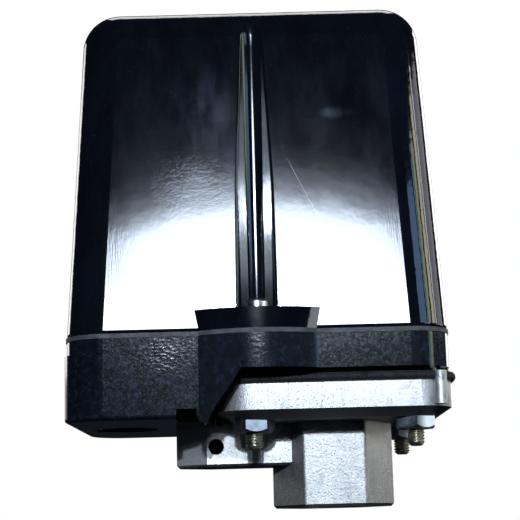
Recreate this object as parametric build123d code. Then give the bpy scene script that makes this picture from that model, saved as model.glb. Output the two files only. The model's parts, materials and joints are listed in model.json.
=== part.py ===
from build123d import *
import math
import os

# Air-compressor pressure switch. Millimetres. The origin is the centre of the pressure port's mouth,
# in the bottom face of the hexagon boss. +Z runs up through the switch, +X to the right and +Y to the
# rear of the switch when its cable entry is on the left.

# --- driving dimensions -------------------------------------------------------------------------
BODY_X = -20.6  # middle of the housing, which overhangs the port to the left
PAD_X = -20.3  # middle of the pads, grooves and cover screws
BODY_WIDTH, BODY_DEPTH, BODY_CORNER = 104.0, 72.0, 11.0
FRONT = -BODY_DEPTH / 2
WALL = 2.6
GAP = 0.05  # between pieces that are fastened together

ARM_BOTTOM_Z, SEAT_Z, FLANGE_TOP_Z, DIAPHRAGM_TOP_Z = 11.9, 23.4, 32.9, 35.0
LEFT_FLOOR_Z, RIGHT_FLOOR_Z, BASE_TOP_Z, SEAL_TOP_Z = 27.0, 40.0, 45.3, 46.5
SHELF_Z, COVER_TOP_Z = 52.1, 140.2
RIM_Z = 36.1  # lower rim of the base, clear of the diaphragm outside the land that rests on it

HEX_FLATS, PORT_R, PORT_DEPTH, DUCT_R = 30.0, 9.32, 15.0, 3.0
FLANGE_SIDE, FLANGE_CORNER, FLANGE_BEVEL = 64.0, 10.0, (5.0, 2.3)
DIAPHRAGM_SIDE, DIAPHRAGM_CORNER = FLANGE_SIDE + 2.0, FLANGE_CORNER + 1.0
CHAMBER_R, CHAMBER_DEPTH = 15.5, 2.6
ARM_HALF_Y, ARM_END_X, ARM_SHOULDER_X = 9.7, -44.4, -35.5
BOLT_PITCH, BOLT_R, BOLT_CORE_R, BOLT_TIP_Z = 44.0, 2.9, 2.05, 15.6
LUG_X, LUG_Y, LUG_R, LUG_LOW_Z = 28.25, -30.95, 1.8, 26.2  # upright lug on the flange's front right corner
NUT_FLATS, NUT_HEIGHT = 10.0, 3.2
NUT_TURNS = (8.0, 30.0, -12.0, 17.0)  # how each nut happens to stand, in degrees

NOTCH_DEPTH = 9.0  # how far the small notch beside each pad goes in behind the wall
STEP_X = -34.0  # where the low left part of the base stops beside the flange
CABLE_X, CABLE_R, CABLE_BOSS_R, CABLE_DEPTH = -59.0, 9.19, 11.4, 10.0
PAD_HALF, PAD_PROUD, PAD_STEP, PAD_FLARE = 15.9, 5.4, 1.0, 0.9
GROOVE_HALF, GROOVE_FLANK, GROOVE_FLOOR_R = 5.2, 4.3, 3.1  # half widths at the skin and flank
GROOVE_FLOOR_Y = 30.4  # how far its floor is from the middle plane, at its foot
GROOVE_TAPER, GROOVE_LIP_R = 0.5, 0.9  # degrees by which it opens out upward, and its rounded lips
GROOVE_RIB_R, GROOVE_RIB_Y = 8.0, 35.6  # the thicker wall behind it
COVER_SCREW_R, COVER_SCREW_HEAD_R, COVER_SCREW_HEAD = 2.0, 3.0, 2.7
COVER_SCREW_TIP_Z = 38.5
FRONT_DRAFT, SIDE_DRAFT = math.tan(math.radians(3.3)), math.tan(math.radians(2.8))
COVER_EDGE_R = 10.5
BASE_EDGE_R = 0.8

FRAME_IN_Y, FRAME_SHEET = 13.5, 2.0
FRAME_X = (-20.0, 25.0)
FOOT_X, FOOT_OUT_Y = (-28.0, 27.0), 27.5
EARTH_Y = 21.5  # the earth screw stands this far in front of the middle plane
YOKE_Z = 98.0
PIVOT_X, PIVOT_Z, PIVOT_R = -14.0, 47.0, 2.0
LEVER_Z, LEVER_SHEET = 50.0, 2.0
LEVER_TOP_Z = LEVER_Z + LEVER_SHEET
TOUCH = 0.06  # free play between the lever and the pieces that it pushes
PISTON_R, PISTON_STEM_R = 14.5, 5.0
RANGE_R, RANGE_PLATE_Z, RANGE_SPRING_Z = 4.0, 88.0, 56.0
DIFF_X, DIFF_R, DIFF_PLATE_Z = 19.0, 2.5, 78.0
UNLOADER_X, UNLOADER_PIN_R, UNLOADER_BORE_R = -38.0, 1.5, 3.6
UNLOADER_FLOOR_Z = 13.6
VENT_X, VENT_Z, VENT_R = -32.9, 17.4, 2.2
INLET_X, INLET_Z, INLET_R, INLET_DEPTH = -30.5, 17.2, 3.46, 5.0
INLET_DUCT_R, INLET_DUCT_DROP = 0.9, 2.0

RELEASE_X, RELEASE_R, RELEASE_TRAVEL = -28.0, 3.0, 1.9
CAM_R, CAM_Z, CAM_RISE, CAM_HEIGHT = 7.0, 84.6, 2.0, 6.4
ROD_R, ROD_HEAD_Z, ROD_GUIDE_Z = 2.5, 80.0, 66.0
KNOB_R, KNOB_HEIGHT, RECESS_R, RECESS_DEPTH = 13.5, 9.8, 15.5, 5.0
STEM_R, STEM_Z, BLADE_Z = 5.0, 119.0, 130.0

CONTACT_X, POLE_PITCH = -50.0, 18.0
POLES = (-POLE_PITCH, 0.0, POLE_PITCH)
BLOCK_HALF_X, BLOCK_HALF_Y, BLOCK_Z, BLOCK_TOP_Z = 13.0, 27.0, 62.0, 76.0
BLOCK_SCREW_Y = 30.0
TIP_OFFSET, TIP_R, TERMINAL_OFFSET = 9.0, 1.8, 8.0
CARRIER_Z, CARRIER_TOP_Z, CARRIER_PAD_X = 45.5, 49.4, -43.0
BRIDGE_Z, BRIDGE_SHEET = 58.0, 1.2


# --- helpers ------------------------------------------------------------------------------------
def block(x, y, z):
    """A box between the two limits given for each axis."""
    size = [high - low for low, high in (x, y, z)]
    middle = [(high + low) / 2 for low, high in (x, y, z)]
    return Pos(*middle) * Box(*size)


def rod(x, y, radius, z_low, z_high):
    """A round bar or hole along Z."""
    return Pos(x, y, (z_low + z_high) / 2) * Cylinder(radius, z_high - z_low)


def rod_y(x, z, radius, y_low, y_high):
    """A round bar or hole along Y."""
    return Pos(x, (y_low + y_high) / 2, z) * Rot(90, 0, 0) * Cylinder(radius, y_high - y_low)


def slab(x, width, depth, corner, z_low, z_high):
    """A rounded rectangle, centred on y = 0, extruded between two heights."""
    return extrude(Pos(x, 0, z_low) * RectangleRounded(width, depth, corner), z_high - z_low)


def prism_z(points, z_low, z_high):
    """A polygon in plan, extruded between two heights."""
    outline = make_face(Polyline(*points, close=True))
    return extrude(Pos(0, 0, z_low) * outline, z_high - z_low)


def prism_y(points, y_low, y_high):
    """A polygon of (x, z) points, extruded between two depths."""
    outline = make_face(Polyline(*[(x, 0, z) for x, z in points], close=True))
    return Pos(0, y_low, 0) * extrude(outline, y_high - y_low, dir=(0, 1, 0))


def ring(x, y, outer, inner, z_low, z_high):
    return rod(x, y, outer, z_low, z_high) - rod(x, y, inner, z_low - 1, z_high + 1)


def hexagon(x, y, flats, turn, z_low, z_high):
    outline = RegularPolygon(flats / 2, 6, major_radius=False)
    return extrude(Pos(x, y, z_low) * Rot(0, 0, turn) * outline, z_high - z_low)


def coil(x, y, mean_r, wire_r, z_low, z_high, turns):
    """A compression spring whose wire just fits between two heights."""
    height = z_high - z_low - 2 * wire_r
    path = Pos(x, y, z_low + wire_r) * Helix(height / turns, height, mean_r)
    return sweep(Plane(origin=path @ 0, z_dir=path % 0) * Circle(wire_r), path, is_frenet=True)


def dome(x, y, radius, crown_r, z_low, z_top):
    """A bar along Z whose upper end is part of a ball."""
    crown_z = z_top - crown_r
    ball = Pos(x, y, crown_z) * Sphere(crown_r)
    below = rod(x, y, radius, min(z_low, crown_z) - 1, crown_z)
    return rod(x, y, radius, z_low, z_top) & (ball + below)


def group(solids):
    """Several solids that share one node."""
    return Compound(children=[solid for piece in solids for solid in piece.solids()])


def mirror_y(shape):
    return mirror(shape, about=Plane.XZ)


def bolt_places():
    half = BOLT_PITCH / 2
    return [(-half, -half), (half, -half), (-half, half), (half, half)]


# --- pressure side ------------------------------------------------------------------------------
def pressure_flange():
    """One casting: square flange, hexagon port boss and the arm of the unloading valve."""
    inset, rise = FLANGE_BEVEL
    foot = Pos(0, 0, SEAT_Z) * RectangleRounded(
        FLANGE_SIDE - 2 * inset, FLANGE_SIDE - 2 * inset, FLANGE_CORNER - inset)
    shoulder = Pos(0, 0, SEAT_Z + rise) * RectangleRounded(FLANGE_SIDE, FLANGE_SIDE, FLANGE_CORNER)
    bevel = loft([foot, shoulder])
    plate = slab(0, FLANGE_SIDE, FLANGE_SIDE, FLANGE_CORNER, SEAT_Z + rise, FLANGE_TOP_Z)
    boss = hexagon(0, 0, HEX_FLATS, 0, 0, SEAT_Z + 1)
    boss = fillet(boss.edges().filter_by(Axis.Z), 1.2)
    boss = chamfer(boss.edges().group_by(Axis.Z)[0], 0.8)
    nose_y = ARM_HALF_Y + (ARM_END_X - ARM_SHOULDER_X) * 0.75
    arm = prism_z([(0, -ARM_HALF_Y), (ARM_SHOULDER_X, -ARM_HALF_Y), (ARM_END_X, -nose_y),
                   (ARM_END_X, nose_y), (ARM_SHOULDER_X, ARM_HALF_Y), (0, ARM_HALF_Y)],
                  ARM_BOTTOM_Z, SEAT_Z)
    arm = chamfer(arm.edges().group_by(Axis.Z)[0].filter_by(lambda e: e.center().X < -1), 0.7)
    sheet = slab(0, DIAPHRAGM_SIDE + 0.1, DIAPHRAGM_SIDE + 0.1, DIAPHRAGM_CORNER, FLANGE_TOP_Z, 60)
    corner_lug = rod(LUG_X, LUG_Y, LUG_R, LUG_LOW_Z, DIAPHRAGM_TOP_Z) - sheet
    casting = bevel + plate + boss + arm + corner_lug
    casting -= rod(0, 0, PORT_R, -1, PORT_DEPTH)
    casting -= rod(0, 0, DUCT_R, PORT_DEPTH - 1, FLANGE_TOP_Z)
    casting -= rod(0, 0, CHAMBER_R, FLANGE_TOP_Z - CHAMBER_DEPTH, FLANGE_TOP_Z + 1)
    for x, y in bolt_places():
        casting -= rod(x, y, BOLT_R + 0.3, SEAT_Z - 1, FLANGE_TOP_Z + 1)
    casting -= rod(UNLOADER_X, 0, UNLOADER_BORE_R, UNLOADER_FLOOR_Z, SEAT_Z + 1)
    casting -= rod_y(VENT_X, VENT_Z, VENT_R, -ARM_HALF_Y - 1, 0.5)
    casting -= rod_y(INLET_X, INLET_Z, INLET_R, ARM_HALF_Y - INLET_DEPTH, ARM_HALF_Y + 1)
    duct_z = INLET_Z - INLET_DUCT_DROP
    duct = Line((INLET_X, ARM_HALF_Y - INLET_DEPTH + 0.8, duct_z), (UNLOADER_X, 0, duct_z))
    casting -= sweep(Plane(origin=duct @ 0, z_dir=duct % 0) * Circle(INLET_DUCT_R), duct)
    return casting


def diaphragm():
    sheet = slab(0, DIAPHRAGM_SIDE, DIAPHRAGM_SIDE, DIAPHRAGM_CORNER, FLANGE_TOP_Z, DIAPHRAGM_TOP_Z)
    for x, y in bolt_places():
        sheet -= rod(x, y, BOLT_R + 0.3, FLANGE_TOP_Z - 1, DIAPHRAGM_TOP_Z + 1)
    return sheet


def piston():
    """The plate that the diaphragm lifts, with the stem that pushes the lever."""
    plate = rod(0, 0, PISTON_R, DIAPHRAGM_TOP_Z, 39.0)
    plate = chamfer(plate.edges().group_by(Axis.Z)[-1], 0.8)
    return plate + dome(0, 0, PISTON_STEM_R, 20.0, 38.5, LEVER_Z - TOUCH)


def flange_bolts():
    head_z = RIGHT_FLOOR_Z + FRAME_SHEET + 1.2
    bolts = []
    for x, y in bolt_places():
        head = hexagon(x, y, NUT_FLATS, 12, head_z, head_z + 4)
        head &= Pos(x, y, head_z + 2.5) * Cone(8.9, 4.9, 5.0)
        shank = rod(x, y, BOLT_R, SEAT_Z + 0.5, head_z)
        thread = rod(x, y, BOLT_CORE_R, BOLT_TIP_Z, SEAT_Z + 0.5)
        thread = chamfer(thread.edges().group_by(Axis.Z)[0], 0.6)
        bolts.append(head + shank + thread)
    return group(bolts)


def flange_washers():
    z = RIGHT_FLOOR_Z + FRAME_SHEET
    return group([ring(x, y, 6.0, BOLT_R + 0.2, z, z + 1.2) for x, y in bolt_places()])


def flange_nuts():
    nuts = []
    for (x, y), turn in zip(bolt_places(), NUT_TURNS):
        nut = hexagon(x, y, NUT_FLATS, turn, SEAT_Z - NUT_HEIGHT, SEAT_Z)
        nut &= Pos(x, y, SEAT_Z - NUT_HEIGHT / 2) * Cone(4.9, 4.9 + NUT_HEIGHT, NUT_HEIGHT)
        nuts.append(nut - rod(x, y, BOLT_CORE_R + GAP, SEAT_Z - NUT_HEIGHT - 1, SEAT_Z + 1))
    return group(nuts)


# --- unloading valve in the arm -----------------------------------------------------------------
def valve_bush():
    return ring(UNLOADER_X, 0, UNLOADER_BORE_R - GAP, UNLOADER_PIN_R + 0.08, 20.9, SEAT_Z)


def valve_plunger():
    body = rod(UNLOADER_X, 0, 3.2, 17.6, 20.4)
    return chamfer(body.edges().group_by(Axis.Z)[-1], 0.6)


def valve_pin():
    return dome(UNLOADER_X, 0, UNLOADER_PIN_R, UNLOADER_PIN_R, 20.4, LEVER_Z - TOUCH)


def valve_spring():
    return coil(UNLOADER_X, 0, 2.4, 0.4, UNLOADER_FLOOR_Z, 17.6, 2.5)


# --- housing ------------------------------------------------------------------------------------
def lug(z_low, z_high, half_low, half_high):
    """Front pad: a step out of the wall, then a convex face. Its sides may flare with height."""
    sections = []
    for z, half in ((z_low, half_low), (z_high, half_high)):
        edge_y = FRONT - PAD_STEP
        face = ThreePointArc((PAD_X - half, edge_y), (PAD_X, FRONT - PAD_PROUD),
                             (PAD_X + half, edge_y))
        back = Polyline((PAD_X + half, edge_y), (PAD_X + half, FRONT + WALL),
                        (PAD_X - half, FRONT + WALL), (PAD_X - half, edge_y))
        sections.append(Pos(0, 0, z) * make_face([face, back]))
    return loft(sections)


def base_housing():
    """The lower shell: low and deep over the cable entry, high and shallow over the flange."""
    shell = slab(BODY_X, BODY_WIDTH, BODY_DEPTH, BODY_CORNER, SEAT_Z, BASE_TOP_Z)
    shell = fillet(shell.edges().group_by(Axis.Z)[0], BASE_EDGE_R)
    panel = slab(BODY_X, BODY_WIDTH + 1.2, BODY_DEPTH + 1.2, BODY_CORNER + 0.6, SEAT_Z + 0.3, 41.5)
    panel = fillet(panel.edges().group_by(Axis.Z)[0], BASE_EDGE_R)
    shell += panel & block((-80, -38.0), (-50, 50), (0, 60))
    pad = lug(21.6, BASE_TOP_Z, PAD_HALF, PAD_HALF)
    shell += pad + mirror_y(pad)
    inner_y = -FRONT - 3.0
    land = slab(0, FLANGE_SIDE, FLANGE_SIDE, FLANGE_CORNER, DIAPHRAGM_TOP_Z, RIM_Z)
    shell -= prism_y([(-37.0, 15), (-34.8, 21.6), (-31.5, 26.8), (-24.7, RIM_Z),
                      (60, RIM_Z), (60, 15)], -50, 50) - land
    shell -= block((STEP_X, 60), (-inner_y, inner_y), (0, DIAPHRAGM_TOP_Z))
    corner = BODY_CORNER - 3.0
    cavity = slab(BODY_X, BODY_WIDTH - 6, 2 * inner_y, corner, LEFT_FLOOR_Z, BASE_TOP_Z + 1)
    raised = block((STEP_X - 2.2, 60), (-50, 50), (0, RIGHT_FLOOR_Z))
    shell -= cavity - raised
    for side in (-1, 1):
        notch_y = sorted((side * (inner_y - NOTCH_DEPTH), side * 60))
        shell -= block((-42.3, -36.9), notch_y, (0, LEFT_FLOOR_Z - 1.0))
        shell -= block((-36.9, -34.9), notch_y, (0, 22.4))
        boss_y = sorted((side * 31.0, side * (inner_y + 1)))
        shell += block((PAD_X - 5, PAD_X + 5), boss_y, (RIGHT_FLOOR_Z - 1, BASE_TOP_Z))
        shell -= rod(PAD_X, side * -FRONT, COVER_SCREW_R + 0.08, COVER_SCREW_TIP_Z - 1.0, 60)
        shell -= rod(CONTACT_X, side * BLOCK_SCREW_Y, 2.0, 24.4, 28)
    shell += rod(CABLE_X, 0, CABLE_BOSS_R, LEFT_FLOOR_Z - 1, SEAT_Z + CABLE_DEPTH)
    shell -= rod(CABLE_X, 0, CABLE_R, 0, 60)
    shell -= rod(UNLOADER_X, 0, UNLOADER_PIN_R + 0.08, 0, 30)
    shell -= rod(0, 0, PISTON_R + 1.5, 0, 60)
    shell -= rod(0, -EARTH_Y, 2.0 + GAP, DIAPHRAGM_TOP_Z + 1.3, 60)
    for x, y in bolt_places():
        shell -= rod(x, y, BOLT_R + 0.3, 30, 60)
    return shell


def cover_seal():
    outer = slab(BODY_X, BODY_WIDTH + 0.5, BODY_DEPTH + 0.5, BODY_CORNER + 0.2, BASE_TOP_Z, SEAL_TOP_Z)
    inner = slab(BODY_X, BODY_WIDTH - 6, BODY_DEPTH - 6, BODY_CORNER - 3, BASE_TOP_Z - 1, SEAL_TOP_Z + 1)
    pads = lug(BASE_TOP_Z, SEAL_TOP_Z, PAD_HALF - 0.2, PAD_HALF - 0.2)
    seal = outer + pads + mirror_y(pads) - inner
    for y in (FRONT, -FRONT):
        seal -= rod(PAD_X, y, COVER_SCREW_R + 0.1, BASE_TOP_Z - 1, SEAL_TOP_Z + 1)
    return seal


def drafted(inset, corner, z_low, z_high):
    """The cover's form, drafted on all sides and set in from the outer skin by inset."""
    sections = []
    for z in (z_low, z_high):
        width = BODY_WIDTH - 2 * (inset + (z - SEAL_TOP_Z) * SIDE_DRAFT)
        depth = BODY_DEPTH - 2 * (inset + (z - SEAL_TOP_Z) * FRONT_DRAFT)
        sections.append(Pos(BODY_X, 0, z) * RectangleRounded(width, depth, corner))
    return loft(sections)


def groove():
    """Screwdriver channel above the front cover screw: round floor, 45 degree flanks, steep sides."""
    arc_y = -GROOVE_FLOOR_Y - GROOVE_FLOOR_R
    tangent = GROOVE_FLOOR_R * math.sin(math.pi / 4)
    flank_y = arc_y + tangent - (GROOVE_FLANK - tangent)
    floor = ThreePointArc((-tangent, arc_y + tangent), (0, -GROOVE_FLOOR_Y), (tangent, arc_y + tangent))
    sides = Polyline((tangent, arc_y + tangent), (GROOVE_FLANK, flank_y), (GROOVE_HALF, FRONT),
                     (GROOVE_HALF, FRONT - WALL), (-GROOVE_HALF, FRONT - WALL), (-GROOVE_HALF, FRONT),
                     (-GROOVE_FLANK, flank_y), (-tangent, arc_y + tangent))
    return extrude(Pos(PAD_X, 0, SHELF_Z) * make_face([floor, sides]), COVER_TOP_Z, taper=-GROOVE_TAPER)


def on_skin(point):
    """Whether a point lies on the cover's drafted front or back."""
    tolerance = 0.02
    skin_y = -FRONT - (point.Z - SEAL_TOP_Z) * FRONT_DRAFT
    return abs(abs(point.Y) - skin_y) < tolerance


def groove_lips(shape):
    """The long edges where the two grooves open out of the cover's front and back."""
    reach, shortest = GROOVE_HALF + 1.5, 20.0
    near = [edge for edge in shape.edges() if abs(edge.center().X - PAD_X) < reach]
    return [edge for edge in near if edge.length > shortest and on_skin(edge @ 0) and on_skin(edge @ 1)]


def cover():
    outer = drafted(0, BODY_CORNER, SEAL_TOP_Z, COVER_TOP_Z)
    outer = fillet(outer.edges().group_by(Axis.Z)[-1], COVER_EDGE_R)
    inner = drafted(WALL, BODY_CORNER - WALL, SEAL_TOP_Z - 1, COVER_TOP_Z - WALL)
    inner = fillet(inner.edges().group_by(Axis.Z)[-1], COVER_EDGE_R - WALL)
    pads = lug(SEAL_TOP_Z, SHELF_Z, PAD_HALF - 0.2, PAD_HALF + PAD_FLARE)
    for y in (-GROOVE_RIB_Y, GROOVE_RIB_Y):
        inner -= rod(PAD_X, y, GROOVE_RIB_R, 0, 200)
    channel = groove()
    outer -= channel + mirror_y(channel)
    outer = fillet(groove_lips(outer), GROOVE_LIP_R)
    recess_z = COVER_TOP_Z - RECESS_DEPTH
    inner -= rod(RELEASE_X, 0, RECESS_R + WALL, recess_z - WALL, 200)
    shell = outer + pads + mirror_y(pads) - inner
    shell -= rod(RELEASE_X, 0, RECESS_R, recess_z, 200)
    shell -= rod(RELEASE_X, 0, STEM_R + 0.06, recess_z - WALL - 1, recess_z + 1)
    for y in (FRONT, -FRONT):
        shell -= rod(PAD_X, y, COVER_SCREW_R + 0.1, SEAL_TOP_Z - 1, SHELF_Z + 1)
    return shell


def cover_screws():
    screws = []
    for y in (FRONT, -FRONT):
        head = rod(PAD_X, y, COVER_SCREW_HEAD_R, SHELF_Z, SHELF_Z + COVER_SCREW_HEAD)
        head = fillet(head.edges().group_by(Axis.Z)[-1], 1.1)
        head -= block((PAD_X - 5, PAD_X + 5), (y - 0.5, y + 0.5),
                      (SHELF_Z + COVER_SCREW_HEAD - 1.2, SHELF_Z + COVER_SCREW_HEAD + 1))
        screws.append(head + rod(PAD_X, y, COVER_SCREW_R, COVER_SCREW_TIP_Z, SHELF_Z))
    return group(screws)


# --- ON/OFF release -----------------------------------------------------------------------------
def knob():
    low = COVER_TOP_Z - RECESS_DEPTH + 0.2
    body = rod(RELEASE_X, 0, KNOB_R, low, low + 3.6)
    body = fillet(body.edges().group_by(Axis.Z)[-1], 1.0)
    grip = slab(RELEASE_X, 2 * KNOB_R - 2, 7.5, 3.4, low + 3.0, low + KNOB_HEIGHT)
    grip = fillet(grip.edges().group_by(Axis.Z)[-1], 1.2)
    stem = rod(RELEASE_X, 0, STEM_R, STEM_Z, low + 0.5)
    slot = block((RELEASE_X - 3.1, RELEASE_X + 3.1), (-0.9, 0.9), (STEM_Z - 1, BLADE_Z + 1))
    return body + grip + stem - slot


def knob_clip():
    z = COVER_TOP_Z - RECESS_DEPTH - WALL
    return ring(RELEASE_X, 0, 7.6, STEM_R + 0.02, z - 1.1, z - 0.1)


def release_shaft():
    """A blade at the top fits the knob's slot. A face cam at the foot pushes the rod down."""
    shaft = rod(RELEASE_X, 0, RELEASE_R, CAM_Z + 3, STEM_Z - 1.2)
    blade = block((RELEASE_X - 2.6, RELEASE_X + 2.6), (-0.8, 0.8), (STEM_Z - 1.5, BLADE_Z))
    cam = rod(RELEASE_X, 0, CAM_R, CAM_Z, CAM_Z + CAM_HEIGHT)
    groove = make_face(Polyline((0, -CAM_R - 1, CAM_Z - CAM_RISE / CAM_R), (0, 0, CAM_Z + CAM_RISE),
                                (0, CAM_R + 1, CAM_Z - CAM_RISE / CAM_R), close=True))
    groove = Pos(RELEASE_X - CAM_R - 1, 0, 0) * extrude(groove, 2 * CAM_R + 2, dir=(1, 0, 0))
    return shaft + blade + (cam - groove)


def release_clip():
    z = YOKE_Z + FRAME_SHEET
    return ring(RELEASE_X, 0, 5.6, RELEASE_R + 0.02, z + 0.1, z + 1.0)


def push_rod():
    foot_z = LEVER_TOP_Z + RELEASE_TRAVEL + 0.2
    stem = rod(RELEASE_X, 0, ROD_R, foot_z, ROD_HEAD_Z + 0.5)
    stem = fillet(stem.edges().group_by(Axis.Z)[0], 1.2)
    head = rod(RELEASE_X, 0, CAM_R - 0.6, ROD_HEAD_Z, ROD_HEAD_Z + 2)
    fin = block((RELEASE_X - 6.2, RELEASE_X + 6.2), (-0.4, 0.4), (ROD_HEAD_Z + 1.5, CAM_Z + 1.4))
    return stem + head + fin


def rod_spring():
    return coil(RELEASE_X, 0, 4.0, 0.5, ROD_GUIDE_Z + FRAME_SHEET, ROD_HEAD_Z, 5)


# --- mechanism ----------------------------------------------------------------------------------
def side_plates():
    """Two folded plates whose feet lie under the flange bolts, with tenons for the yoke."""
    y_in, y_out = FRAME_IN_Y, FRAME_IN_Y + FRAME_SHEET
    foot_z = (RIGHT_FLOOR_Z, RIGHT_FLOOR_Z + FRAME_SHEET)
    plate = block(FRAME_X, (y_in, y_out), (RIGHT_FLOOR_Z, YOKE_Z))
    plate += block(FOOT_X, (y_out - 0.5, FOOT_OUT_Y), foot_z)
    for x in (-10.0, 15.0):
        plate += block((x - 3, x + 3), (y_in, y_out), (YOKE_Z - 1, YOKE_Z + FRAME_SHEET))
    plate -= rod_y(PIVOT_X, PIVOT_Z, PIVOT_R + GAP, 0, 30)
    plate -= rod(0, EARTH_Y, 2.0 + GAP, 30, 60)
    for x, y in bolt_places():
        plate -= rod(x, y, BOLT_R + 0.3, 30, 60)
    return group([plate, mirror_y(plate)])


def frame_yoke():
    z = (YOKE_Z + 0.02, YOKE_Z + FRAME_SHEET)
    y_out = FRAME_IN_Y + FRAME_SHEET
    plate = block((RELEASE_X - 7.5, FRAME_X[1] + 0.5), (-y_out, y_out), z)
    plate = fillet(plate.edges().filter_by(Axis.Z), 2.0)
    for x in (-10.0, 15.0):
        for y in ((FRAME_IN_Y - GAP, 30), (-30, -FRAME_IN_Y + GAP)):
            plate -= block((x - 3 - GAP, x + 3 + GAP), y, (90, 110))
    plate -= rod(0, 0, RANGE_R + 0.08, 90, 110)
    plate -= rod(DIFF_X, 0, DIFF_R + 0.08, 90, 110)
    return plate - rod(RELEASE_X, 0, RELEASE_R + 0.08, 90, 110)


def rod_guide():
    y = FRAME_IN_Y - GAP
    plate = block((RELEASE_X - 7, -13.0), (-y, y), (ROD_GUIDE_Z, ROD_GUIDE_Z + FRAME_SHEET))
    plate = fillet(plate.edges().filter_by(Axis.Z), 2.0)
    return plate - rod(RELEASE_X, 0, ROD_R + 0.08, 60, 75)


def main_lever():
    """A rocker on the lever pin: piston and springs to the right, contacts and valve to the left."""
    z = (LEVER_Z, LEVER_TOP_Z)
    wide = FRAME_IN_Y - 0.3
    lever = block((-46.0, 24.0), (-6.5, 6.5), z) + block((-20.0, 10.0), (-wide, wide), z)
    lever = fillet(lever.edges().filter_by(Axis.Z), 2.0)
    for y in ((-wide, -wide + 1.8), (wide - 1.8, wide)):
        ear = block((PIVOT_X - 4.5, PIVOT_X + 4.5), y, (PIVOT_Z - 4.2, LEVER_Z + 0.5))
        lever += fillet(ear.edges().filter_by(Axis.Y).group_by(Axis.Z)[0], 3.5)
    return lever - rod_y(PIVOT_X, PIVOT_Z, PIVOT_R + 0.06, -30, 30)


def lever_pin():
    pin = rod_y(PIVOT_X, PIVOT_Z, PIVOT_R, -17.4, 17.4)
    return chamfer(pin.edges().filter_by(GeomType.CIRCLE), 0.4)


def lever_clips():
    clip = rod_y(PIVOT_X, PIVOT_Z, 3.5, 15.6, 16.4) - rod_y(PIVOT_X, PIVOT_Z, PIVOT_R + 0.02, 15, 17)
    return group([clip, mirror_y(clip)])


def spring_cup():
    foot_z = LEVER_TOP_Z + 0.1
    foot = rod(0, 0, 6, foot_z, 55) & (Pos(0, 0, foot_z + 20) * Sphere(20))
    cup = foot + rod(0, 0, 11, 54, RANGE_SPRING_Z) + rod(0, 0, 7.2, 55, RANGE_SPRING_Z + 3)
    return cup - rod(0, 0, RANGE_R + 0.8, RANGE_SPRING_Z, RANGE_SPRING_Z + 4)


def range_spring():
    return coil(0, 0, 9.2, 1.3, RANGE_SPRING_Z, RANGE_PLATE_Z, 6)


def nut_plate(x_limits, x_screw, radius, z):
    y = FRAME_IN_Y - 0.1
    plate = block(x_limits, (-y, y), (z, z + 3))
    plate = fillet(plate.edges().filter_by(Axis.Z), 1.5)
    return plate - rod(x_screw, 0, radius + 0.08, z - 1, z + 4)


def range_plate():
    return nut_plate((-12.5, 12.5), 0, RANGE_R, RANGE_PLATE_Z)


def differential_plate():
    return nut_plate((DIFF_X - 5.5, DIFF_X + 5.5), DIFF_X, DIFF_R, DIFF_PLATE_Z)


def adjuster(x, radius, flats, head, tip_z):
    """An adjusting screw that hangs by its slotted hexagon head from the yoke."""
    z = YOKE_Z + FRAME_SHEET
    top = hexagon(x, 0, flats, 0, z + 0.05, z + head)
    top &= Pos(x, 0, z + head / 2) * Cone(flats / 2 - 0.2 + head, flats / 2 - 0.2, head)
    top -= block((x - flats, x + flats), (-0.6, 0.6), (z + head - 1.6, z + head + 1))
    shank = rod(x, 0, radius, tip_z, z + 1)
    return top + chamfer(shank.edges().group_by(Axis.Z)[0], 0.5)


def range_screw():
    return adjuster(0, RANGE_R, 13.0, 5.5, 64.0)


def differential_screw():
    return adjuster(DIFF_X, DIFF_R, 8.0, 3.8, 66.0)


def differential_spring():
    return coil(DIFF_X, 0, 4.6, 0.7, LEVER_TOP_Z + GAP, DIFF_PLATE_Z, 7)


# --- contacts -----------------------------------------------------------------------------------
def contact_block():
    """Insulating block on two legs, with a groove below for the carrier and ribs between poles."""
    x = (CONTACT_X - BLOCK_HALF_X, CONTACT_X + BLOCK_HALF_X)
    shape = block(x, (-BLOCK_HALF_Y, BLOCK_HALF_Y), (BLOCK_Z, BLOCK_TOP_Z))
    shape -= block((CONTACT_X - 4.5, CONTACT_X + 4.5), (-24, 24), (0, BLOCK_Z + 4))
    for y in (-1.5 * POLE_PITCH + 0.8, -POLE_PITCH / 2, POLE_PITCH / 2, 1.5 * POLE_PITCH - 0.8):
        shape += block(x, (y - 0.8, y + 0.8), (BLOCK_TOP_Z - 0.5, BLOCK_TOP_Z + 7))
    for side in (-1, 1):
        leg = sorted((side * 25.0, side * BLOCK_HALF_Y))
        foot = sorted((side * 25.0, side * 32.4))
        shape += block(x, leg, (LEFT_FLOOR_Z, BLOCK_Z + 1))
        shape += block((CONTACT_X - 4.5, CONTACT_X + 4.5), foot, (LEFT_FLOOR_Z, LEFT_FLOOR_Z + 3))
        shape -= rod(CONTACT_X, side * BLOCK_SCREW_Y, 2.0, 20, 40)
    for x_screw, y in terminal_places():
        shape -= rod(x_screw, y, 1.75, BLOCK_Z + 5.5, BLOCK_TOP_Z + 1)
    return shape


def terminal_places():
    return [(CONTACT_X + side * TERMINAL_OFFSET, y) for y in POLES for side in (-1, 1)]


def block_screws():
    screws = []
    z = LEFT_FLOOR_Z + 3
    for y in (-BLOCK_SCREW_Y, BLOCK_SCREW_Y):
        head = rod(CONTACT_X, y, 2.7, z, z + 2.4)
        head -= block((CONTACT_X - 5, CONTACT_X + 5), (y - 0.5, y + 0.5), (z + 1.3, z + 4))
        screws.append(head + rod(CONTACT_X, y, 1.95, 24.6, z))
    return group(screws)


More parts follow.
